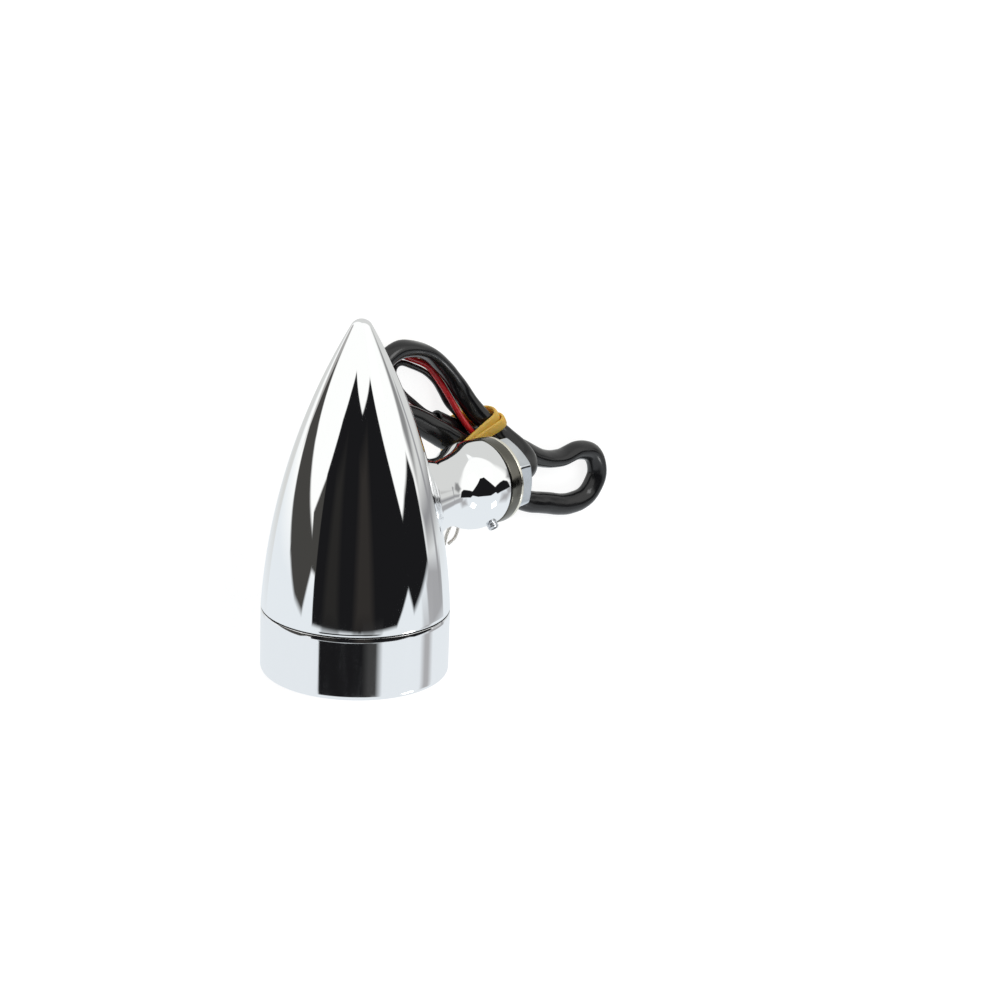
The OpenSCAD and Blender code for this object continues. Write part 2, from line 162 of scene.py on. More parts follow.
# plated and bare metals
CHROME = textured("chrome_plate", (0.96, 0.97, 0.98), 1, 0.015, 0.035, 60)
add_bump(CHROME, add_noise(CHROME, 90), 0.00002, 0.35)
RING_CHROME = textured("chrome_ring", (0.95, 0.955, 0.965), 1, 0.03, 0.09, 500, (1, 0.12, 1))
DARK_STEEL = textured("dark_steel", (0.15, 0.145, 0.125), 1, 0.12, 0.3, 260,
                      (4, 0.6, 0.6), 0.000004)
WASHER = textured("bright_washer", (0.86, 0.83, 0.73), 1, 0.14, 0.3, 400, (3, 1, 1), 0.000003)
ZINC = textured("zinc_plate", (0.74, 0.78, 0.83), 1, 0.10, 0.24, 300, bump=0.00001)
vary(ZINC, "Base Color", add_noise(ZINC, 110), (0.42, 0.46, 0.5), (0.9, 0.93, 0.96))
THREAD = textured("thread_steel", (0.55, 0.55, 0.52), 1, 0.2, 0.35, 700, bump=0.000003)
SCREW_STEEL = textured("screw_steel", (0.72, 0.73, 0.75), 1, 0.12, 0.25, 900)
TIN_STEEL = textured("tin_steel", (0.76, 0.77, 0.78), 1, 0.2, 0.35, 500)
SPRING_STEEL = textured("spring_steel", (0.66, 0.66, 0.68), 1, 0.2, 0.35, 900)
# painted shade: the narrow joint faces and the screw's socket are coloured near-black, standing in
# for the shade inside the joint and the socket
SEAM_PAINTED_SHADE = principled("seam_painted_shade", (0.02, 0.02, 0.02), 0, 0.8)
MIRROR = principled("mirror_bowl", (0.88, 0.88, 0.9), 1, 0.06)
BRASS = textured("brass", (0.83, 0.68, 0.34), 1, 0.15, 0.3, 600)
TINNED = textured("tinned_copper", (0.72, 0.7, 0.66), 1, 0.25, 0.45, 1500)
TUNGSTEN = principled("tungsten", (0.42, 0.42, 0.43), 1, 0.4)
# cable, rubber and plastics
BLACK_PVC = textured("black_pvc", (0.008, 0.008, 0.009), 0, 0.12, 0.26, 120, bump=0.00002)
RED_PVC = textured("red_pvc", (0.56, 0.012, 0.018), 0, 0.2, 0.32, 500)
YELLOW_PVC = textured("yellow_pvc", (0.82, 0.47, 0.02), 0, 0.2, 0.32, 500)
BLACK_WIRE = textured("black_wire", (0.012, 0.012, 0.013), 0, 0.2, 0.32, 500)
RUBBER = textured("black_rubber", (0.02, 0.02, 0.02), 0, 0.5, 0.7, 900, bump=0.00001)
PHENOLIC = textured("phenolic", (0.14, 0.06, 0.03), 0, 0.45, 0.65, 700, bump=0.00001)
VITRITE = principled("vitrite", (0.01, 0.01, 0.012), 0, 0.15)
BAND = textured("amber_rubber", (0.93, 0.57, 0.09), 0, 0.32, 0.5, 260, bump=0.00003,
                Transmission_Weight=0.25, Subsurface_Weight=0.5, Subsurface_Scale=0.0015)
shader(BAND).inputs["Subsurface Radius"].default_value = (1, 0.6, 0.2)
# clear pieces
GLASS = principled("bulb_glass", (0.98, 0.99, 0.99), 0, 0.02, Transmission_Weight=1.0, IOR=1.2)
AMBER = principled("amber_lens", (1.0, 0.36, 0.02), 0, 0.05, Transmission_Weight=0.9, IOR=1.45)


# ---- mesh helpers ---------------------------------------------------------

def make(name, verts, faces, material, body, nodes=(), slot=None, crease=38.0):
    """A mesh from points in mm, on a body, standing for CAD nodes.

    Edges that turn by more than crease degrees stay sharp.
    """
    data = bpy.data.meshes.new(name)
    data.from_pydata([mm(v) for v in verts], [], faces)
    data.materials.append(material)
    bm = bmesh.new()
    bm.from_mesh(data)
    bmesh.ops.remove_doubles(bm, verts=bm.verts, dist=2e-7)
    bmesh.ops.recalc_face_normals(bm, faces=bm.faces)
    for e in bm.edges:
        e.smooth = len(e.link_faces) == 2 and e.calc_face_angle() < math.radians(crease)
    for f in bm.faces:
        f.smooth = True
    bm.to_mesh(data)
    bm.free()
    obj = bpy.data.objects.new(name, data)
    bpy.context.scene.collection.objects.link(obj)
    if body:
        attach(obj, body)
    if nodes:
        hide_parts(*nodes)
    return obj


def ring_faces(rings, columns, closed):
    """Quads between rings of points; closed also joins the last ring to the first."""
    faces = []
    for i in range(rings if closed else rings - 1):
        a, b = i * columns, (i + 1) % rings * columns
        for k in range(columns):
            n = (k + 1) % columns
            faces.append((a + k, a + n, b + n, b + k))
    return faces


def on_bullet(r, w, a):
    """The point at radius r and angle a round the bullet's axis, w along it."""
    return (BULLET_X + r * math.cos(a), w, r * math.sin(a))


def on_stem(r, w, a):
    """The same round the stem's and stud's axis."""
    return (w, r * math.cos(a), r * math.sin(a))


def on_screw(r, w, a):
    """The same round the set screw's axis, which leans from -Y toward +Z."""
    y = -w * math.cos(SCREW_TILT) + r * math.sin(a) * math.sin(SCREW_TILT)
    z = w * math.sin(SCREW_TILT) + r * math.sin(a) * math.cos(SCREW_TILT)
    return (SCREW_X + r * math.cos(a), y, z)


def lathe(name, place, outline, material, body, steps=160, **kw):
    """Turns a closed outline of (radius, distance along) round an axis."""
    verts = [place(r, w, TAU * k / steps) for r, w in outline for k in range(steps)]
    return make(name, verts, ring_faces(len(outline), steps, True), material, body, **kw)


def arc(cr, cw, radius, a0, a1, n):
    """Points on an arc in an outline; angles in degrees from the radial direction."""
    out = []
    for i in range(n + 1):
        a = math.radians(a0 + (a1 - a0) * i / n)
        out.append((cr + radius * math.cos(a), cw + radius * math.sin(a)))
    return out


def smooth_path(points, step):
    """A smooth curve through the points, resampled at even steps."""
    p = [Vector(q) for q in points]
    p = [2 * p[0] - p[1], *p, 2 * p[-1] - p[-2]]
    dense = []
    for i in range(1, len(p) - 2):
        a, b, c, d = p[i - 1:i + 3]
        for k in range(16):
            t = k / 16
            dense.append(0.5 * (2 * b + (c - a) * t + (2 * a - 5 * b + 4 * c - d) * t * t
                                + (3 * b - a - 3 * c + d) * t ** 3))
    dense.append(p[-2])
    runs = [0.0]
    for a, b in zip(dense, dense[1:]):
        runs.append(runs[-1] + (b - a).length)
    count = max(2, round(runs[-1] / step))
    out, k = [], 0
    for i in range(count + 1):
        s = runs[-1] * i / count
        while k < len(dense) - 2 and runs[k + 1] < s:
            k += 1
        span = runs[k + 1] - runs[k]
        out.append(dense[k].lerp(dense[k + 1], (s - runs[k]) / span if span else 0))
    return out


def path_length(path):
    return sum((b - a).length for a, b in zip(path, path[1:]))


def path_frames(path, first=(0, 0.2, 1)):
    """Tangent and two cross directions at each point, carried along without twist."""
    out, u = [], Vector(first)
    for i in range(len(path)):
        t = (path[min(i + 1, len(path) - 1)] - path[max(i - 1, 0)]).normalized()
        u = (u - u.dot(t) * t).normalized()
        out.append((t, u, t.cross(u)))
    return out


def tube_parts(path, radius, sides, hollow=0.0):
    """Points and faces of a tube. A hollow radius opens its far end by a few rings.

    radius is a number, or a function of (run, share of the length, direction, angle).
    """
    verts, total, run = [], path_length(path), 0.0
    frames = path_frames(path)
    rings = 0
    for i, (p, (t, u, v)) in enumerate(zip(path, frames)):
        if i:
            run += (p - path[i - 1]).length
        for k in range(sides):
            a = TAU * k / sides
            d = u * math.cos(a) + v * math.sin(a)
            r = radius(run, run / total, d, a) if callable(radius) else radius
            verts.append(p + d * r)
        rings += 1
    if hollow:
        for i in range(len(path) - 1, len(path) - 8, -1):
            t, u, v = frames[i]
            for k in range(sides):
                a = TAU * k / sides
                verts.append(path[i] + (u * math.cos(a) + v * math.sin(a)) * hollow)
            rings += 1
    faces = ring_faces(rings, sides, False)
    faces.append(tuple(range(sides))[::-1])
    faces.append(tuple((rings - 1) * sides + k for k in range(sides)))
    return verts, faces


def tube(name, path, radius, sides, material, body, hollow=0.0, **kw):
    """A cord's mesh, flattened where it lies on the floor."""
    verts, faces = tube_parts(path, radius, sides, hollow)
    for v in verts:
        v.z = max(v.z, FLOOR_Z + FLOOR_GAP)
    return make(name, verts, faces, material, body, **kw)


def join_parts(parts):
    """The points and faces of several parts as one list each."""
    verts, faces = [], []
    for pv, pf in parts:
        base = len(verts)
        verts += pv
        faces += [tuple(base + i for i in f) for f in pf]
    return verts, faces


def paint(obj, material, chosen):
    """Gives the faces whose centre (mm) passes the test another material."""
    obj.data.materials.append(material)
    for f in obj.data.polygons:
        if chosen(f.center * 1000):
            f.material_index = 1


def cut(obj, place, radius, start, end, steps=64):
    """Bores a round hole through a mesh and keeps the result as its own mesh."""
    outline = [(0, start), (radius, start), (radius, end), (0, end)]
    tool = lathe("tool", place, outline, CHROME, None, steps)
    bore = obj.modifiers.new("bore", "BOOLEAN")
    bore.object, bore.operation, bore.solver = tool, "DIFFERENCE", "EXACT"
    bpy.context.view_layer.update()
    bored = obj.evaluated_get(bpy.context.evaluated_depsgraph_get())
    result = bpy.data.meshes.new_from_object(bored)
    obj.modifiers.clear()
    obj.data = result
    bpy.data.objects.remove(tool)
    return obj


# ---- cords ----------------------------------------------------------------

SLEEVE_EXIT = (9.4, 0, 0)
WIRE_D = 1.5
SLEEVE = [
    (-3, 0, 0), (3, 0, 0), (9.4, 0, 0), (12.8, 0.2, -0.4), (15.4, 1.3, -2.7),
    (16, 3.3, -6.2), (14.8, 5.9, -10), (12.8, 8.6, -12.8), (10.2, 11.2, -14.8),
    (7.6, 15, -16.6), (4.6, 20, -18), (-0.4, 25.6, -18.3), (-6.6, 29.9, -18.2),
    (-14.6, 31.4, -18.2), (-20.6, 28.2, -18.2), (-21.4, 22.2, -18), (-17, 17.2, -17.2),
    (-10.4, 13.6, -15.9), (-4.8, 9.9, -14.5), (1.6, 6, -14.1), (8, 1.7, -14.3),
    (14.2, -3.8, -16.3), (20.2, -8.8, -18.6), (26.5, -12.8, -19.7), (33, -17, -19.7),
    (41.2, -19.4, -19.7), (49.5, -21.4, -19.7), (57, -20.4, -19.7), (61, -15, -19.7),
    (59, -9.2, -19.7), (53, -7.2, -19.7), (46, -8, -19.7), (38.6, -6.6, -19.7),
    (29.2, -1.9, -19.7), (22.4, 1.4, -19.7), (16, 3.8, -19.3), (9.5, 6.2, -18.5),
    (3.6, 8.5, -18.8), (-0.9, 10.9, -19.3),
]
RED = [
    (-0.2, 10.5, -18.6), (-3, 12, -19.4), (-6.6, 14.4, -21.2), (-11, 17.4, -21.7),
    (-13.6, 21, -21.7), (-14.8, 25, -21.7), (-13.8, 27.8, -21.7), (-11.2, 28.7, -21.7),
    (-7.6, 27.4, -21.7), (-2.7, 25, -20.9), (0.2, 21.6, -20.1), (2.7, 17.4, -18.8),
    (4.1, 13.5, -16.8), (5.5, 9.8, -14.6), (7.6, 6.4, -12.9), (9.6, 3.2, -11.2),
    (10.4, -0.6, -11), (10.5, -5.4, -14), (10.4, -10.4, -18.4), (10.1, -14, -20.9),
    (9.6, -17.6, -21.7),
]
BLACK = [
    (-0.2, 11.6, -19.6), (-3, 13.2, -20.8), (-6.2, 16, -21.7), (-9.6, 18.8, -21.7),
    (-12, 21.8, -21.7), (-13.2, 24.4, -21.7), (-12.6, 26.3, -21.7), (-10.6, 26.8, -21.7),
    (-7.4, 25.6, -21.7), (-2.6, 23.2, -21.7), (1, 20.2, -21.7), (3.4, 17, -21.7),
    (4.8, 14, -20.8), (5.6, 11.8, -18.4), (6.3, 10, -16.2), (8, 7.8, -14.4),
    (10.6, 4.8, -12.4), (12, 1, -11.6), (12.2, -3.6, -12.2), (12.2, -7.6, -15.4),
    (12, -11.6, -19.2), (11.6, -15, -21.4), (11, -17.8, -21.7),
]
YELLOW = [
    (-0.9, 10.3, -20), (-3.6, 11.4, -21), (-7, 13.2, -21.7), (-11.4, 16.2, -21.7),
    (-14.3, 19.9, -21.7), (-15.4, 25, -21.7), (-14.6, 28.6, -21.7), (-11.4, 30.1, -21.7),
    (-6.2, 28.8, -21.7), (-1, 25.2, -21.7), (2.4, 22, -21.7), (5, 18.6, -21.7),
    (7.4, 15.2, -21.7), (10, 12, -21.7),
]
TINNED_ENDS = {
    "red": [(9.6, -17.6, -21.7), (8.4, -19.6, -21.9), (7.2, -21.8, -21.9), (6.4, -24.2, -21.9)],
    "black": [(11, -17.8, -21.7), (10.6, -20.2, -21.2), (9, -22.4, -20.7), (6.8, -23.6, -20.7)],
    "yellow": [(10, 12, -21.7), (11.8, 10, -21.8), (13.4, 8.6, -22)],
}
# share of the sleeve's run, then half its height and half its width there
SLEEVE_OVAL = [
    (0, 2.7, 2.7), (0.09, 2.7, 2.7), (0.13, 2.9, 2.4), (0.17, 2.9, 2.3), (0.20, 3.0, 1.9),
    (0.25, 2.9, 1.9), (0.285, 2.2, 2.4), (0.33, 2.1, 2.7), (0.37, 2.4, 2.9), (0.42, 2.5, 3.2),
    (0.47, 2.5, 3.1), (0.54, 2.6, 3.0), (0.6, 2.7, 2.8), (0.7, 2.6, 2.9), (0.76, 2.4, 2.6),
    (0.81, 2.9, 2.3), (0.88, 2.6, 2.8), (0.95, 2.7, 2.7), (1, 2.7, 2.7),
]


def between(table, x):
    """The rest of a table's row at x, eased from one row to the next."""
    for a, b in zip(table, table[1:]):
        if x <= b[0]:
            t = (x - a[0]) / (b[0] - a[0])
            t = t * t * (3 - 2 * t)
            return [p + (q - p) * t for p, q in zip(a[1:], b[1:])]
    return list(table[-1][1:])


def sleeve_radius(run, share, d, a):
    """An oval pressed by its neighbours, with the wires' ridges showing away from both ends."""
    tall, wide = between(SLEEVE_OVAL, share)
    rise = d.z * d.z
    r = (rise / tall ** 2 + (1 - rise) / wide ** 2) ** -0.5
    free = min(1, max(0, (run - 14) / 6)) * min(1, max(0, (sleeve_length - run) / 8))
    lobes = 0.050 * math.cos(3 * a + 0.05 * run) + 0.02 * math.cos(2 * a - 0.12 * run)
    ripple = 0.007 * math.sin(0.7 * run + 2 * a) + 0.005 * math.sin(1.3 * run - 3 * a)
    return r * (1 + free * (lobes + ripple))


sleeve_path = smooth_path(SLEEVE, 0.8)
sleeve_length = path_length(sleeve_path)
sleeve = tube("sleeve", sleeve_path, sleeve_radius, 28, BLACK_PVC, "mount", hollow=2.1,
              nodes=["cable_sleeve"], slot="black_pvc", crease=60)


def stranded_end(name, colour):
    """Tinned strands twisted together where the insulation has been stripped."""
    strands, strand_r, lay_r, twist = 6, 0.16, 0.27, 0.34
    path = smooth_path(TINNED_ENDS[colour], 0.15)
    frames = path_frames(path)
    parts = []
    for k in range(strands):
        line = []
        for i, (p, (t, u, v)) in enumerate(zip(path, frames)):
            a = TAU * k / strands + twist * i
            fan = lay_r + 0.1 * max(0, i / len(path) - 0.8)
            line.append(p + u * math.cos(a) * fan + v * math.sin(a) * fan)
        parts.append(tube_parts(line, strand_r, 8))
    verts, faces = join_parts(parts)
    return make(name, verts, faces, TINNED, "mount", nodes=["wire_ends"], slot="tinned", crease=60)


def wire(colour, points, material, slot):
    """One insulated wire from the sleeve's cut end, and its stripped end."""
    path = smooth_path(points, 0.5)
    body = tube("wire_" + colour + "_flex", path, WIRE_D / 2, 16, material, "mount",
                nodes=["wire_" + colour], slot=slot, crease=60)
    end = stranded_end("wire_" + colour + "_end", colour)


wire("red", RED, RED_PVC, "red_pvc")
wire("black", BLACK, BLACK_WIRE, "black_pvc")
wire("yellow", YELLOW, YELLOW_PVC, "yellow_pvc")


# ---- rubber band ----------------------------------------------------------

BAND_R = 2.85
BAND_HALF_WIDTH = 1.35
BAND_HALF_THICKNESS = 0.46
# where each strand crosses the three runs of the hank: a point on the run, and its direction
BAND_RUNS = {
    "band_strand_low": [
        ((1.6, 6, -14.2), (0.84, -0.54, 0)),
        ((5.4, 7.9, -18.8), (0.93, -0.38, 0)),
        ((10.9, 10.5, -14.3), (0.62, -0.62, 0.48)),
    ],
    "band_strand_high": [
        ((2.4, 5.5, -14.2), (0.84, -0.54, 0)),
        ((6.6, 7.3, -18.7), (0.93, -0.38, 0)),
        ((12.2, 9.2, -13.3), (0.62, -0.62, 0.48)),
    ],
}


def hull(points):
    """Convex hull of plane points, anticlockwise."""
    points = sorted(points)
    out = []
    for turn in (points, points[::-1]):
        side = []
        for p in turn:
            while len(side) > 1 and ((side[-1][0] - side[-2][0]) * (p[1] - side[-2][1])
                                     - (side[-1][1] - side[-2][1]) * (p[0] - side[-2][0])) <= 0:
                side.pop()
            side.append(p)
        out += side[:-1]
    return out


def band_outline(runs, origin, u, n):
    """The taut loop round the ovals that the hank's runs leave in the strand's upright plane."""
    rim = []
    for place, way in runs:
        place, way = Vector(place), Vector(way)
        long = (way.length / abs(way.dot(n))) * BAND_R
        turn = math.atan2(way.z, way.dot(u))
        for k in range(72):
            a = TAU * k / 72
            x, y = (long + 0.5) * math.cos(a), (BAND_R + 0.5) * math.sin(a)
            rim.append(((place - origin).dot(u) + x * math.cos(turn) - y * math.sin(turn),
                        place.z + x * math.sin(turn) + y * math.cos(turn)))
    return [origin + u * p[0] + Vector((0, 0, p[1])) for p in hull(rim)]


def band_strand(name, runs, phase):
    """One turn of the band: its loop, evened out and eased, then given a flat section."""
    origin = Vector((runs[0][0][0], runs[0][0][1], 0))
    flat = Vector(runs[2][0]) - origin
    u = Vector((flat.x, flat.y, 0)).normalized()
    n = Vector((u.y, -u.x, 0))
    loop = band_outline(runs, origin, u, n)
    path = [loop[0]]
    for a, b in zip(loop, loop[1:] + loop[:1]):
        pieces = max(1, round((b - a).length / 0.35))
        path += [a.lerp(b, (i + 1) / pieces) for i in range(pieces)]
    path = path[:-1]
    count, verts = len(path), []
    for _ in range(6):
        path = [(path[i - 1] + path[i] * 2 + path[(i + 1) % count]) / 4 for i in range(count)]
    for i, p in enumerate(path):
        t = (path[(i + 1) % count] - path[i - 1]).normalized()
        out = t.cross(n).normalized()
        lean = 0.16 * math.sin(TAU * 2 * i / count + phase)
        across = n * math.cos(lean) + out * math.sin(lean)
        out = out * math.cos(lean) - n * math.sin(lean)
        half = BAND_HALF_WIDTH + 0.06 * math.sin(TAU * 3 * i / count + phase)
        for k in range(20):
            a = TAU * k / 20
            c, s = math.cos(a), math.sin(a)
            x = half * math.copysign(abs(c) ** 0.62, c)
            y = BAND_HALF_THICKNESS * math.copysign(abs(s) ** 0.75, s)
            q = p + across * x + out * y
            q.z = max(q.z, FLOOR_Z + FLOOR_GAP + 0.01)
            verts.append(q)
    return make(name, verts, ring_faces(count, 20, True), BAND, "mount",
                nodes=["rubber_band"], slot="band", crease=60)


band = [band_strand(name, runs, i) for i, (name, runs) in enumerate(BAND_RUNS.items())]


# ---- chrome housing, ring and stem ----------------------------------------

R, SEAM, TIP, TIP_R = 22.5, -22.5, 47.5, 2.8
WALL = 2.2
SPIGOT_R, MOUTH_R = 20.2, 18.2
RING_BACK, RING_FRONT, RING_ROUND = -22.8, -38.4, 1.2
# the side is one arc that leans by SLOPE at the seam and runs into the tip's ball
SLOPE = math.atan(0.058)
OGIVE_LEN = TIP - SEAM - TIP_R
OGIVE_A = (R * R + OGIVE_LEN ** 2 - TIP_R ** 2) / (
    2 * (R * math.cos(SLOPE) - OGIVE_LEN * math.sin(SLOPE) - TIP_R))
OGIVE_R = R - OGIVE_A * math.cos(SLOPE)
OGIVE_W = SEAM - OGIVE_A * math.sin(SLOPE)
TIP_TURN = math.atan2(TIP - TIP_R - OGIVE_W, -OGIVE_R)
OGIVE_END = OGIVE_W + OGIVE_A * math.sin(TIP_TURN)


def ogive(w, inset=0.0):
    """The bullet's radius at w along it; inset gives the inside of a wall."""
    return OGIVE_R + math.sqrt((OGIVE_A - inset) ** 2 - (w - OGIVE_W) ** 2)


def side_points(start, end, count, inset=0.0):
    """Outline points along the bullet's side."""
    steps = [start + (end - start) * i / count for i in range(count + 1)]
    return [(ogive(w, inset), w) for w in steps]


def housing_shell():
    """The pointed shell with its hollow, its spigot for the ring and its hole for the stem."""
    outer = [(SPIGOT_R, SEAM), (22.38, SEAM), (22.46, SEAM + 0.03)]
    outer += side_points(SEAM + 0.12, OGIVE_END, 110)
    outer += arc(0, TIP - TIP_R, TIP_R, math.degrees(TIP_TURN), 90, 16)[1:]
    join = OGIVE_W + math.sqrt((OGIVE_A - WALL) ** 2 - (MOUTH_R - OGIVE_R) ** 2)
    inner = [(0, 42.2)] + side_points(40.5, join, 40, WALL)
    inner += [(MOUTH_R, -28), (18.9, -28), (18.9, -29.5), (SPIGOT_R, -29.5)]
    shell = lathe("housing_shell", on_bullet, outer + inner, CHROME, "lamp", 256,
                  nodes=["bullet_housing"], slot="chrome", crease=30)
    # painted shade: the step face in the joint between shell and ring is coloured near-black
    paint(shell, SEAM_PAINTED_SHADE, lambda c: SEAM - 0.01 < c.y < SEAM + 0.02)
    return cut(shell, on_stem, 8.0, -30, -20)


def neck_r(d):
    """The stem's radius at d from the bullet's axis: boss, waist, then the domed end."""
    if d < 22.65:
        return 9.50 + 0.35 * (22.65 - d)
    if d < 27.93:
        return 24.6 - math.sqrt(256 - (27.93 - d) ** 2)
    if d < 32.7:
        return 18.6 - math.sqrt(100 - (d - 27.93) ** 2)
    if d < 37:
        return 1.9 + math.sqrt(81 - (37 - d) ** 2)
    return -14.1 + math.sqrt(625 - (d - 37) ** 2)


def shell_height(r, a):
    """How far from the bullet's axis its skin stands, at a point round the stem's axis."""
    return math.sqrt(ogive(r * math.cos(a)) ** 2 - (r * math.sin(a)) ** 2)


def housing_boss():
    """The flared seat for the stem, with a small fillet where it grows out of the shell."""
    steps, rows, fillet, top, foot_r = 160, 22, 1.4, 22.2, neck_r(21)
    verts = []
    for r, d in [(5.2, 16), (5.2, top)]:
        verts += [on_stem(r, d + BULLET_X, TAU * k / steps) for k in range(steps)]
    for j in range(rows + 1):
        for k in range(steps):
            a = TAU * k / steps
            base = shell_height(foot_r, a)
            h = (top - base) * (1 - j / rows) ** 1.6
            lift = max(0, fillet - h)
            r = neck_r(base + h) + fillet - math.sqrt(max(0, fillet ** 2 - lift ** 2))
            verts.append(on_stem(r, shell_height(r, a) + h + BULLET_X, a))
    for r, d in [(9.5, 18.2), (6, 17)]:
        verts += [on_stem(r, d + BULLET_X, TAU * k / steps) for k in range(steps)]
    return make("housing_boss", verts, ring_faces(rows + 5, steps, True), CHROME, "lamp",
                nodes=["bullet_housing"], slot="chrome", crease=40)


def stem_arm():
    """The waisted neck and domed end, hollow for the bolt and the collar's shank."""
    start, run, rows = 22.2, 18.65, 94
    outline = [(5.0, start + BULLET_X), (neck_r(start), start + BULLET_X)]
    outline += [(neck_r(start + run * i / rows), start + run * i / rows + BULLET_X)
                for i in range(1, rows + 1)]
    outline += [(10.5, -3.53), (10.35, -3.5), (7.1, -3.5), (7.0, -3.6), (7.0, -13.5), (5.0, -13.5)]
    arm = lathe("stem_body", on_stem, outline, CHROME, "lamp", 224,
                nodes=["stem_arm"], slot="chrome", crease=30)
    return cut(arm, on_screw, 1.5, 6, 14, 48)


def bezel_ring():
    """The straight ring with a rounded front edge, which holds the lens on its inner lip."""
    side_end = RING_FRONT + RING_ROUND
    side_run = RING_BACK - 0.15 - side_end
    outline = [(20.25, RING_BACK), (22.32, RING_BACK), (22.44, -22.84), (R, -22.95)]
    outline += [(R, RING_BACK - 0.15 - side_run * i / 12) for i in range(1, 13)]
    outline += arc(R - RING_ROUND, side_end, RING_ROUND, 0, -90, 14)[1:]
    outline += [(18.85, RING_FRONT), (18.7, -38.35), (18.6, -38.2), (18.6, -33), (20.1, -33),
                (20.1, -30.5), (20.25, -30.5)]
    ring = lathe("bezel_body", on_bullet, outline, RING_CHROME, "bezel", 256,
                 nodes=["bezel_ring"], slot="chrome", crease=30)
    # painted shade: the ring's back face, in the joint with the shell, is coloured near-black
    paint(ring, SEAM_PAINTED_SHADE, lambda c: c.y > RING_BACK - 0.02)


housing_shell()
housing_boss()
stem_arm()
bezel_ring()


# ---- stud, washer, nut and screws -----------------------------------------

def thread_tooth(w, pitch, share):
    """0 on a thread's crest and 1 in its root, at w along it and a share of a turn round it."""
    phase = (w / pitch - share) % 1
    return min(1, max(0, 2.6 * abs(phase - 0.5) - 0.15))


def threaded(name, place, major, depth, pitch, start, end, material, body, bore, **kw):
    """A threaded tube, with a chamfer at each end."""
    steps, rows = 96, round((end - start) / 0.08)
    verts = [place(bore, start, TAU * k / steps) for k in range(steps)]
    for j in range(rows + 1):
        w = start + (end - start) * j / rows
        for k in range(steps):
            r = major - depth * thread_tooth(w, pitch, k / steps)
            r = min(r, major - depth + (end - w) * 1.1 + 0.05, major - depth + (w - start) * 1.1)
            verts.append(place(r, w, TAU * k / steps))
    verts += [place(bore, end, TAU * k / steps) for k in range(steps)]
    return make(name, verts, ring_faces(rows + 3, steps, True), material, body, **kw)


# the collar's shank has a groove that the set screw's tip runs in
collar = [(BORE_R, -13.2), (6.55, -13.2), (6.95, -12.8), (6.95, -7.7), (6.1, -7.6), (6.1, -4.8),
          (6.95, -4.7), (6.95, -3.2)]
collar += arc(10.35, -2.85, 0.35, -90, 0, 6) + arc(10.35, -0.35, 0.35, 0, 90, 6)
collar += [(4.2, 0), (4.2, 0.6), (BORE_R, 0.6)]
lathe("collar_body", on_stem, collar, DARK_STEEL, "mount", 192,
      nodes=["mount_stud"], slot="dark_steel", crease=30)
threaded("stud_thread", on_stem, 5.0, 0.62, 1.25, 0.0, SLEEVE_EXIT[0], THREAD, "mount", BORE_R,
         nodes=["mount_stud"], slot="dark_steel", crease=55)
lathe("grommet_body", on_stem,
      [(2.82, 7.4), (3.38, 7.4), (3.38, 9.4)] + arc(3.95, 9.7, 0.25, -80, 90, 8)
      + [(3.1, 9.95), (2.9, 9.9), (2.82, 9.8)],
      RUBBER, "mount", 64, nodes=["cable_grommet"], slot="rubber")
washer = [(5.25, 0.15), (5.3, 0.1)]
washer += arc(10.35, 0.35, 0.25, -90, 0, 5) + arc(10.35, 0.75, 0.25, 0, 90, 5)
washer += [(5.3, 1.0), (5.25, 0.95)]
lathe("washer_body", on_stem, washer, WASHER, "washer", 192,
      nodes=["flat_washer"], slot="washer", crease=40)


def soft_min(a, b, k):
    """The smaller of two numbers, rounded off over k where they meet."""
    h = max(k - abs(a - b), 0) / k
    return min(a, b) - h * h * k / 4


def nut_body():
    """The hexagon nut, chamfered on both faces. flats is its width across flats."""
    steps, start, thick, flats, hole_r, sink_r = 360, 1.1, 4.9, 17, 5.05, 5.6
    rows = [0, 0.06, 0.15, 0.3, 0.45, 0.6, 0.75, 0.9, 1.1, 1.6, 2.45]
    rows += [thick - w for w in rows[-2::-1]]
    verts = [on_stem(hole_r, start + 0.4, TAU * k / steps) for k in range(steps)]
    verts += [on_stem(sink_r, start, TAU * k / steps) for k in range(steps)]
    for w in rows:
        end = min(w, thick - w)
        for k in range(steps):
            a = TAU * k / steps
            off_flat = (a - math.radians(60)) % math.radians(60) - math.radians(30)
            r = soft_min(flats / 2 / math.cos(off_flat), flats / 2 + 1.22, 0.35)
            r = soft_min(r, flats / 2 - 0.12 + 1.75 * end, 0.25)
            verts.append(on_stem(r, start + w, a))
    verts += [on_stem(sink_r, start + thick, TAU * k / steps) for k in range(steps)]
    verts += [on_stem(hole_r, start + thick - 0.4, TAU * k / steps) for k in range(steps)]
    return make("nut_body", verts, ring_faces(len(verts) // steps, steps, True), ZINC, "nut",
                nodes=["mount_nut"], slot="zinc", crease=32)


nut_body()


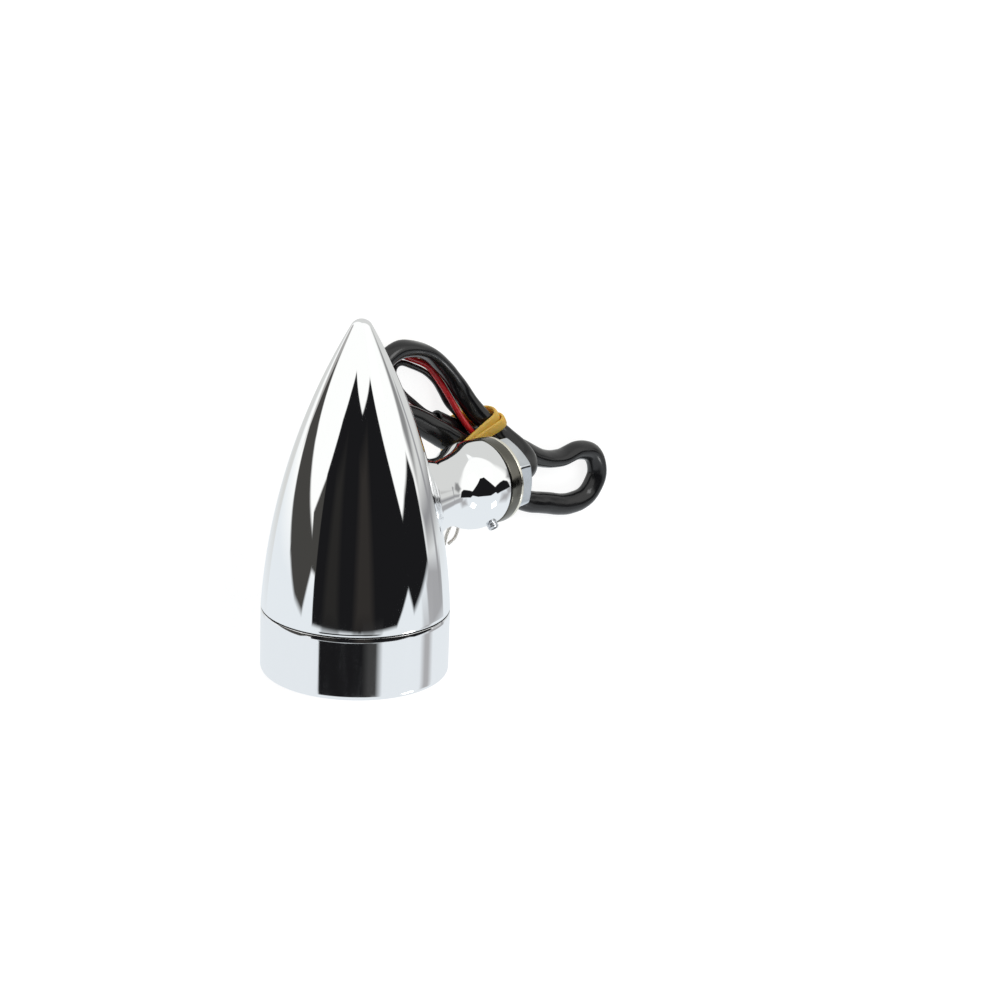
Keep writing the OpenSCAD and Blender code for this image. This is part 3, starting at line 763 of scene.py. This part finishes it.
def screw_body():
    """The grub screw: thread, chamfered end and hexagon socket."""
    steps, rows, start, end, socket_r = 72, 74, 6.3, 12.3, 0.75
    verts = [on_screw(0, start, 0)] * steps
    for j in range(rows + 1):
        w = start + (end - start) * j / rows
        for k in range(steps):
            r = 1.45 - 0.26 * thread_tooth(w, 0.5, k / steps)
            r = min(r, 1.1 + (end - w) * 1.0, 0.9 + (w - start) * 1.0)
            verts.append(on_screw(r, w, TAU * k / steps))
    for depth, grow in [(0.0, 1.12), (0.12, 1.0), (1.8, 1.0)]:
        for k in range(steps):
            a = TAU * k / steps
            off_flat = a % math.radians(60) - math.radians(30)
            verts.append(on_screw(socket_r / math.cos(off_flat) * grow, end - depth, a))
    verts += [on_screw(0, end - 2.1, 0)] * steps
    screw = make("set_screw_body", verts, ring_faces(len(verts) // steps, steps, False),
                 SCREW_STEEL, "set_screw", nodes=["set_screw"], slot="tin_steel", crease=40)
    axis = Vector((0, -math.cos(SCREW_TILT), math.sin(SCREW_TILT)))
    foot = Vector((SCREW_X, 0, 0))

    def in_socket(c):
        c = c - foot
        return c.cross(axis).length < socket_r * 1.12 and 9 < c.dot(axis) < end - 0.15
    # painted shade: the socket's walls and floor are coloured near-black for the shade inside it
    paint(screw, SEAM_PAINTED_SHADE, in_socket)


screw_body()


# ---- lens, reflector and bulb ---------------------------------------------

LENS_CURVE = 65.7


def cap_w(apex, r):
    """The lens's shallow curve: its distance along the bullet at radius r."""
    return apex + LENS_CURVE - math.sqrt(LENS_CURVE ** 2 - r * r)


def lens_body():
    """The amber lens: a flange, a smooth front, and rings of prisms on the inside."""
    prisms, prism_r, prism_depth, front_r = 11, 16.2, 0.55, 18.3
    outline = [(16.3, -30.9), (19.8, -30.9), (19.8, -32.7), (18.35, -32.7)]
    outline += [(front_r * (1 - i / 40), cap_w(-38, front_r * (1 - i / 40))) for i in range(41)]
    for i in range(prisms):
        for t in (0.02, 0.25, 0.5, 0.75, 0.98):
            r = prism_r * (i + t) / prisms
            rise = prism_depth * math.sin(math.pi * t) ** 0.8 if i else 0
            outline.append((r, cap_w(-36, r) - rise))
    lathe("lens_body", on_bullet, outline, AMBER, "lens", 144,
          nodes=["lens"], slot="amber_lens", crease=30)


lens_body()


def reflector_body():
    """A thin paraboloid bowl with a flange that sits in the housing's mouth."""
    bowl = [(math.sqrt(70.6 + 232.2 * i / 50), -5.5 - 22.5 * i / 50) for i in range(51)]
    back = [(r + 0.5, w) for r, w in bowl[::-1]]
    outline = [(8.35, -5.05)] + bowl + [(17.5, -28.45), (18.75, -28.45), (18.75, -28.05)] + back
    lathe("reflector_bowl", on_bullet, outline + [(10.2, -5.05)], MIRROR, "lamp", 128,
          nodes=["reflector"], slot="mirror_steel", crease=35)


reflector_body()


def bulb_globe():
    """The bulb's glass, as an outer and an inner skin."""
    def skin(neck, globe):
        reach = math.degrees(math.atan2(math.sqrt(globe ** 2 - neck ** 2), neck))
        return [(neck, -1)] + arc(0, -17.3, globe, reach, -90, 48)
    outline = skin(6.9, 9.2) + skin(6.2, 8.5)[::-1]
    lathe("bulb_globe", on_bullet, outline, GLASS, "bulb", 96,
          nodes=["bulb_glass"], slot="bulb_glass", crease=60)


bulb_globe()


def filament(name, w, z, radius, wire_r, node):
    """A fine coil strung straight between its two posts."""
    turns, steps, span = 22, 12, 5.9
    line = []
    for i in range(turns * steps + 1):
        share, a = i / (turns * steps), TAU * i / steps
        line.append(Vector((BULLET_X + span * (share - 0.5),
                            w + radius * math.cos(a), z + radius * math.sin(a))))
    verts, faces = tube_parts(line, wire_r, 6)
    make(name, verts, faces, TUNGSTEN, "bulb", nodes=[node], slot="tungsten", crease=60)


def contact_spring():
    """The spring behind the contact plate, which shortens toward the socket's cap."""
    radius, start, end, turns, steps, wire_r = 5.6, 11.55, 15.65, 3, 48, 0.35
    count = turns * steps
    line = [Vector(on_bullet(radius, start + (end - start) * i / count, TAU * i / steps))
            for i in range(count + 1)]
    verts, faces = tube_parts(line, wire_r, 14)
    spring = make("contact_spring_coil", verts, faces, SPRING_STEEL, "lamp",
                  nodes=["contact_spring"], slot="spring", crease=60)
    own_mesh(spring)


filament("filament_turn_coil", -17.2, -1.3, 0.24, 0.07, "filament_turn")
filament("filament_run_coil", -14.2, 1.3, 0.18, 0.06, "filament_run")
contact_spring()


# ---- finishes of the CAD pieces that are shown as they are ----------------

SHOWN = {
    "stem_gasket": RUBBER, "stem_bolt": ZINC, "stem_lock_washer": SPRING_STEEL,
    "socket_shell": TIN_STEEL, "socket_rivets": BRASS, "socket_cap": PHENOLIC,
    "lead_red": RED_PVC, "lead_yellow": YELLOW_PVC, "lead_black": BLACK_WIRE,
    "lens_gasket": RUBBER, "contact_plate": PHENOLIC, "contact_tips": BRASS,
    "bulb_base": BRASS, "bulb_pins": BRASS, "bulb_stem": GLASS, "bulb_insulator": VITRITE,
    "bulb_tips": TINNED, "filament_posts": TUNGSTEN,
}
for node, material in SHOWN.items():
    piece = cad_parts[node]
    for place in piece.material_slots:
        place.material = material


# ---- studio ---------------------------------------------------------------

# What the chrome sees: colour, softness of the edge in degrees, and a convex outline.
# Each point is the angle round the bullet's axis from +X toward +Z, and the angle toward
# the tip. Later zones cover earlier ones, and neighbours overlap so that no gap shows.
SKY = (0.80, 0.84, 0.87)
BLACK_CARD = (0.010, 0.010, 0.011)
GREY_CARD = (0.058, 0.056, 0.052)
ZONES = [
    # white tent above, and its grey side on the stem's side
    ((1.03, 1.03, 1.01), 10, [(-90, -4), (270, -4), (270, 90), (-90, 90)]),
    ((0.68, 0.685, 0.67), 9, [(-90, -14), (30, -10), (30, 90), (-90, 90)]),
    # soft grey streaks beside the neck and on the dark flank
    ((0.38, 0.38, 0.39), 2.5, [(0, -17), (32, -17), (36, -10), (30, -8), (0, -12)]),
    ((0.34, 0.34, 0.35), 2, [(4, -14), (9, -14), (12, 8), (7, 8)]),
    ((0.30, 0.30, 0.31), 4, [(-26, -11), (26, -6), (31, 0), (10, -3), (-26, -7)]),
    ((0.26, 0.26, 0.26), 5, [(16, 6), (27, 2), (33, 10), (24, 20), (17, 18)]),
    ((0.40, 0.39, 0.38), 6, [(238, 13), (256, 3), (263, 12), (256, 27), (243, 24)]),
    # black card over the lamp, then the grey one on its far side
    (BLACK_CARD, 1.5, [(30, -8), (58, -12), (72, -4), (72, 5), (58, 6.5), (43, 11), (34, 4)]),
    (BLACK_CARD, 0.8, [(57, -5), (82, -13), (129, -13), (129, 27.6), (118, 29.5), (89, 35),
                       (67, 4)]),
    (BLACK_CARD, 0.8, [(126, -13), (186, -13), (186, 13), (172, 24.5), (160, 31), (149, 35.5),
                       (126, 27.6)]),
    (GREY_CARD, 1.0, [(185, -11), (191, -4), (199, -3.5), (201.5, 3), (185, 13)]),
    (GREY_CARD, 1.6, [(190, -3), (201, -12), (213, -10.5), (229, -5.5), (229, 11.5), (190, 0)]),
    (GREY_CARD, 1.6, [(227, -6), (241, -1.5), (254, 4), (250, 11), (245, 17), (239, 15),
                      (227, 10.8)]),
    # faint light on the black card
    ((0.022, 0.021, 0.02), 7, [(154, -13), (172, -13), (168, 14), (158, 20)]),
    ((0.030, 0.027, 0.025), 8, [(112, -13), (134, -13), (130, 18), (118, 22)]),
    # what the ring sees
    (BLACK_CARD, 2.0, [(112, -27), (177, -27), (177, -15.5), (112, -15.5)]),
    ((0.05, 0.05, 0.05), 9, [(103, -28), (120, -28), (120, -15), (103, -15)]),
    ((0.42, 0.42, 0.43), 9, [(27, -28), (42, -28), (42, -14), (27, -14)]),
]


def studio_world():
    """Plain white for the camera; the zones, on a pale blue sky, for everything else."""
    world = bpy.data.worlds.new("studio")
    bpy.context.scene.world = world
    world.use_nodes = True
    nt = world.node_tree
    nt.nodes.clear()

    def calc(operation, *values, clamp=False):
        n = nt.nodes.new("ShaderNodeMath")
        n.operation, n.use_clamp = operation, clamp
        for i, v in enumerate(values):
            if isinstance(v, (int, float)):
                n.inputs[i].default_value = v
            else:
                nt.links.new(v, n.inputs[i])
        return n.outputs[0]

    coord = nt.nodes.new("ShaderNodeTexCoord")
    split = nt.nodes.new("ShaderNodeSeparateXYZ")
    nt.links.new(coord.outputs["Generated"], split.inputs[0])
    x, y, z = split.outputs
    turn = calc("MULTIPLY", calc("ARCTAN2", z, x), 180 / math.pi)
    turn = calc("SUBTRACT", calc("FLOORED_MODULO", calc("ADD", turn, 90), 360), 90)
    tip = calc("MULTIPLY", calc("ARCSINE", y), 180 / math.pi)

    colour = (*SKY, 1)
    for shade, soft, points in ZONES:
        inside = None
        for (ax, ay), (bx, by) in zip(points, points[1:] + points[:1]):
            size = math.hypot(bx - ax, by - ay)
            lean, rise = -(by - ay) / size, (bx - ax) / size
            edge = calc("MULTIPLY_ADD", turn, lean,
                        calc("MULTIPLY_ADD", tip, rise, -(lean * ax + rise * ay)))
            inside = edge if inside is None else calc("MINIMUM", inside, edge)
        share = calc("MULTIPLY_ADD", inside, 1 / soft, 0.5, clamp=True)
        mix = nt.nodes.new("ShaderNodeMixRGB")
        nt.links.new(share, mix.inputs[0])
        if isinstance(colour, tuple):
            mix.inputs[1].default_value = colour
        else:
            nt.links.new(colour, mix.inputs[1])
        mix.inputs[2].default_value = (*shade, 1)
        colour = mix.outputs[0]

    studio = nt.nodes.new("ShaderNodeBackground")
    nt.links.new(colour, studio.inputs["Color"])
    plain = nt.nodes.new("ShaderNodeBackground")
    plain.inputs["Color"].default_value = (1, 1, 1, 1)
    seen = nt.nodes.new("ShaderNodeLightPath")
    either = nt.nodes.new("ShaderNodeMixShader")
    nt.links.new(seen.outputs["Is Camera Ray"], either.inputs[0])
    nt.links.new(studio.outputs[0], either.inputs[1])
    nt.links.new(plain.outputs[0], either.inputs[2])
    out = nt.nodes.new("ShaderNodeOutputWorld")
    nt.links.new(either.outputs[0], out.inputs["Surface"])


def paper_floor():
    """A pale, slightly glowing floor that catches soft shadows and stays out of the chrome."""
    half = 3000
    paper = principled("paper", (0.32, 0.32, 0.32), 0, 0.9, Emission_Strength=0.86)
    shader(paper).inputs["Emission Color"].default_value = (1, 1, 1, 1)
    shader(paper).inputs["Specular IOR Level"].default_value = 0
    corners = [(x, y, FLOOR_Z) for x, y in ((-half, -half), (half, -half), (half, half),
                                            (-half, half))]
    floor = make("floor", corners, [(0, 1, 2, 3)], paper, None)
    floor.visible_glossy = False


def soft_light(name, place, size, power):
    """An area light that points at the origin. Place and size are metres, power is watts."""
    data = bpy.data.lights.new(name, "AREA")
    data.size, data.energy = size, power
    lamp = bpy.data.objects.new(name, data)
    bpy.context.scene.collection.objects.link(lamp)
    lamp.location = place
    lamp.rotation_mode = "QUATERNION"
    lamp.rotation_quaternion = (-Vector(place)).to_track_quat("-Z", "Y")
    lamp.visible_camera = False


studio_world()
paper_floor()
bpy.context.scene.view_settings.view_transform = "Standard"
soft_light("softbox", (0.25, 0.75, 0.9), 0.45, 2.0)
soft_light("strip", (0.34, -0.52, 0.66), 0.2, 0.75)
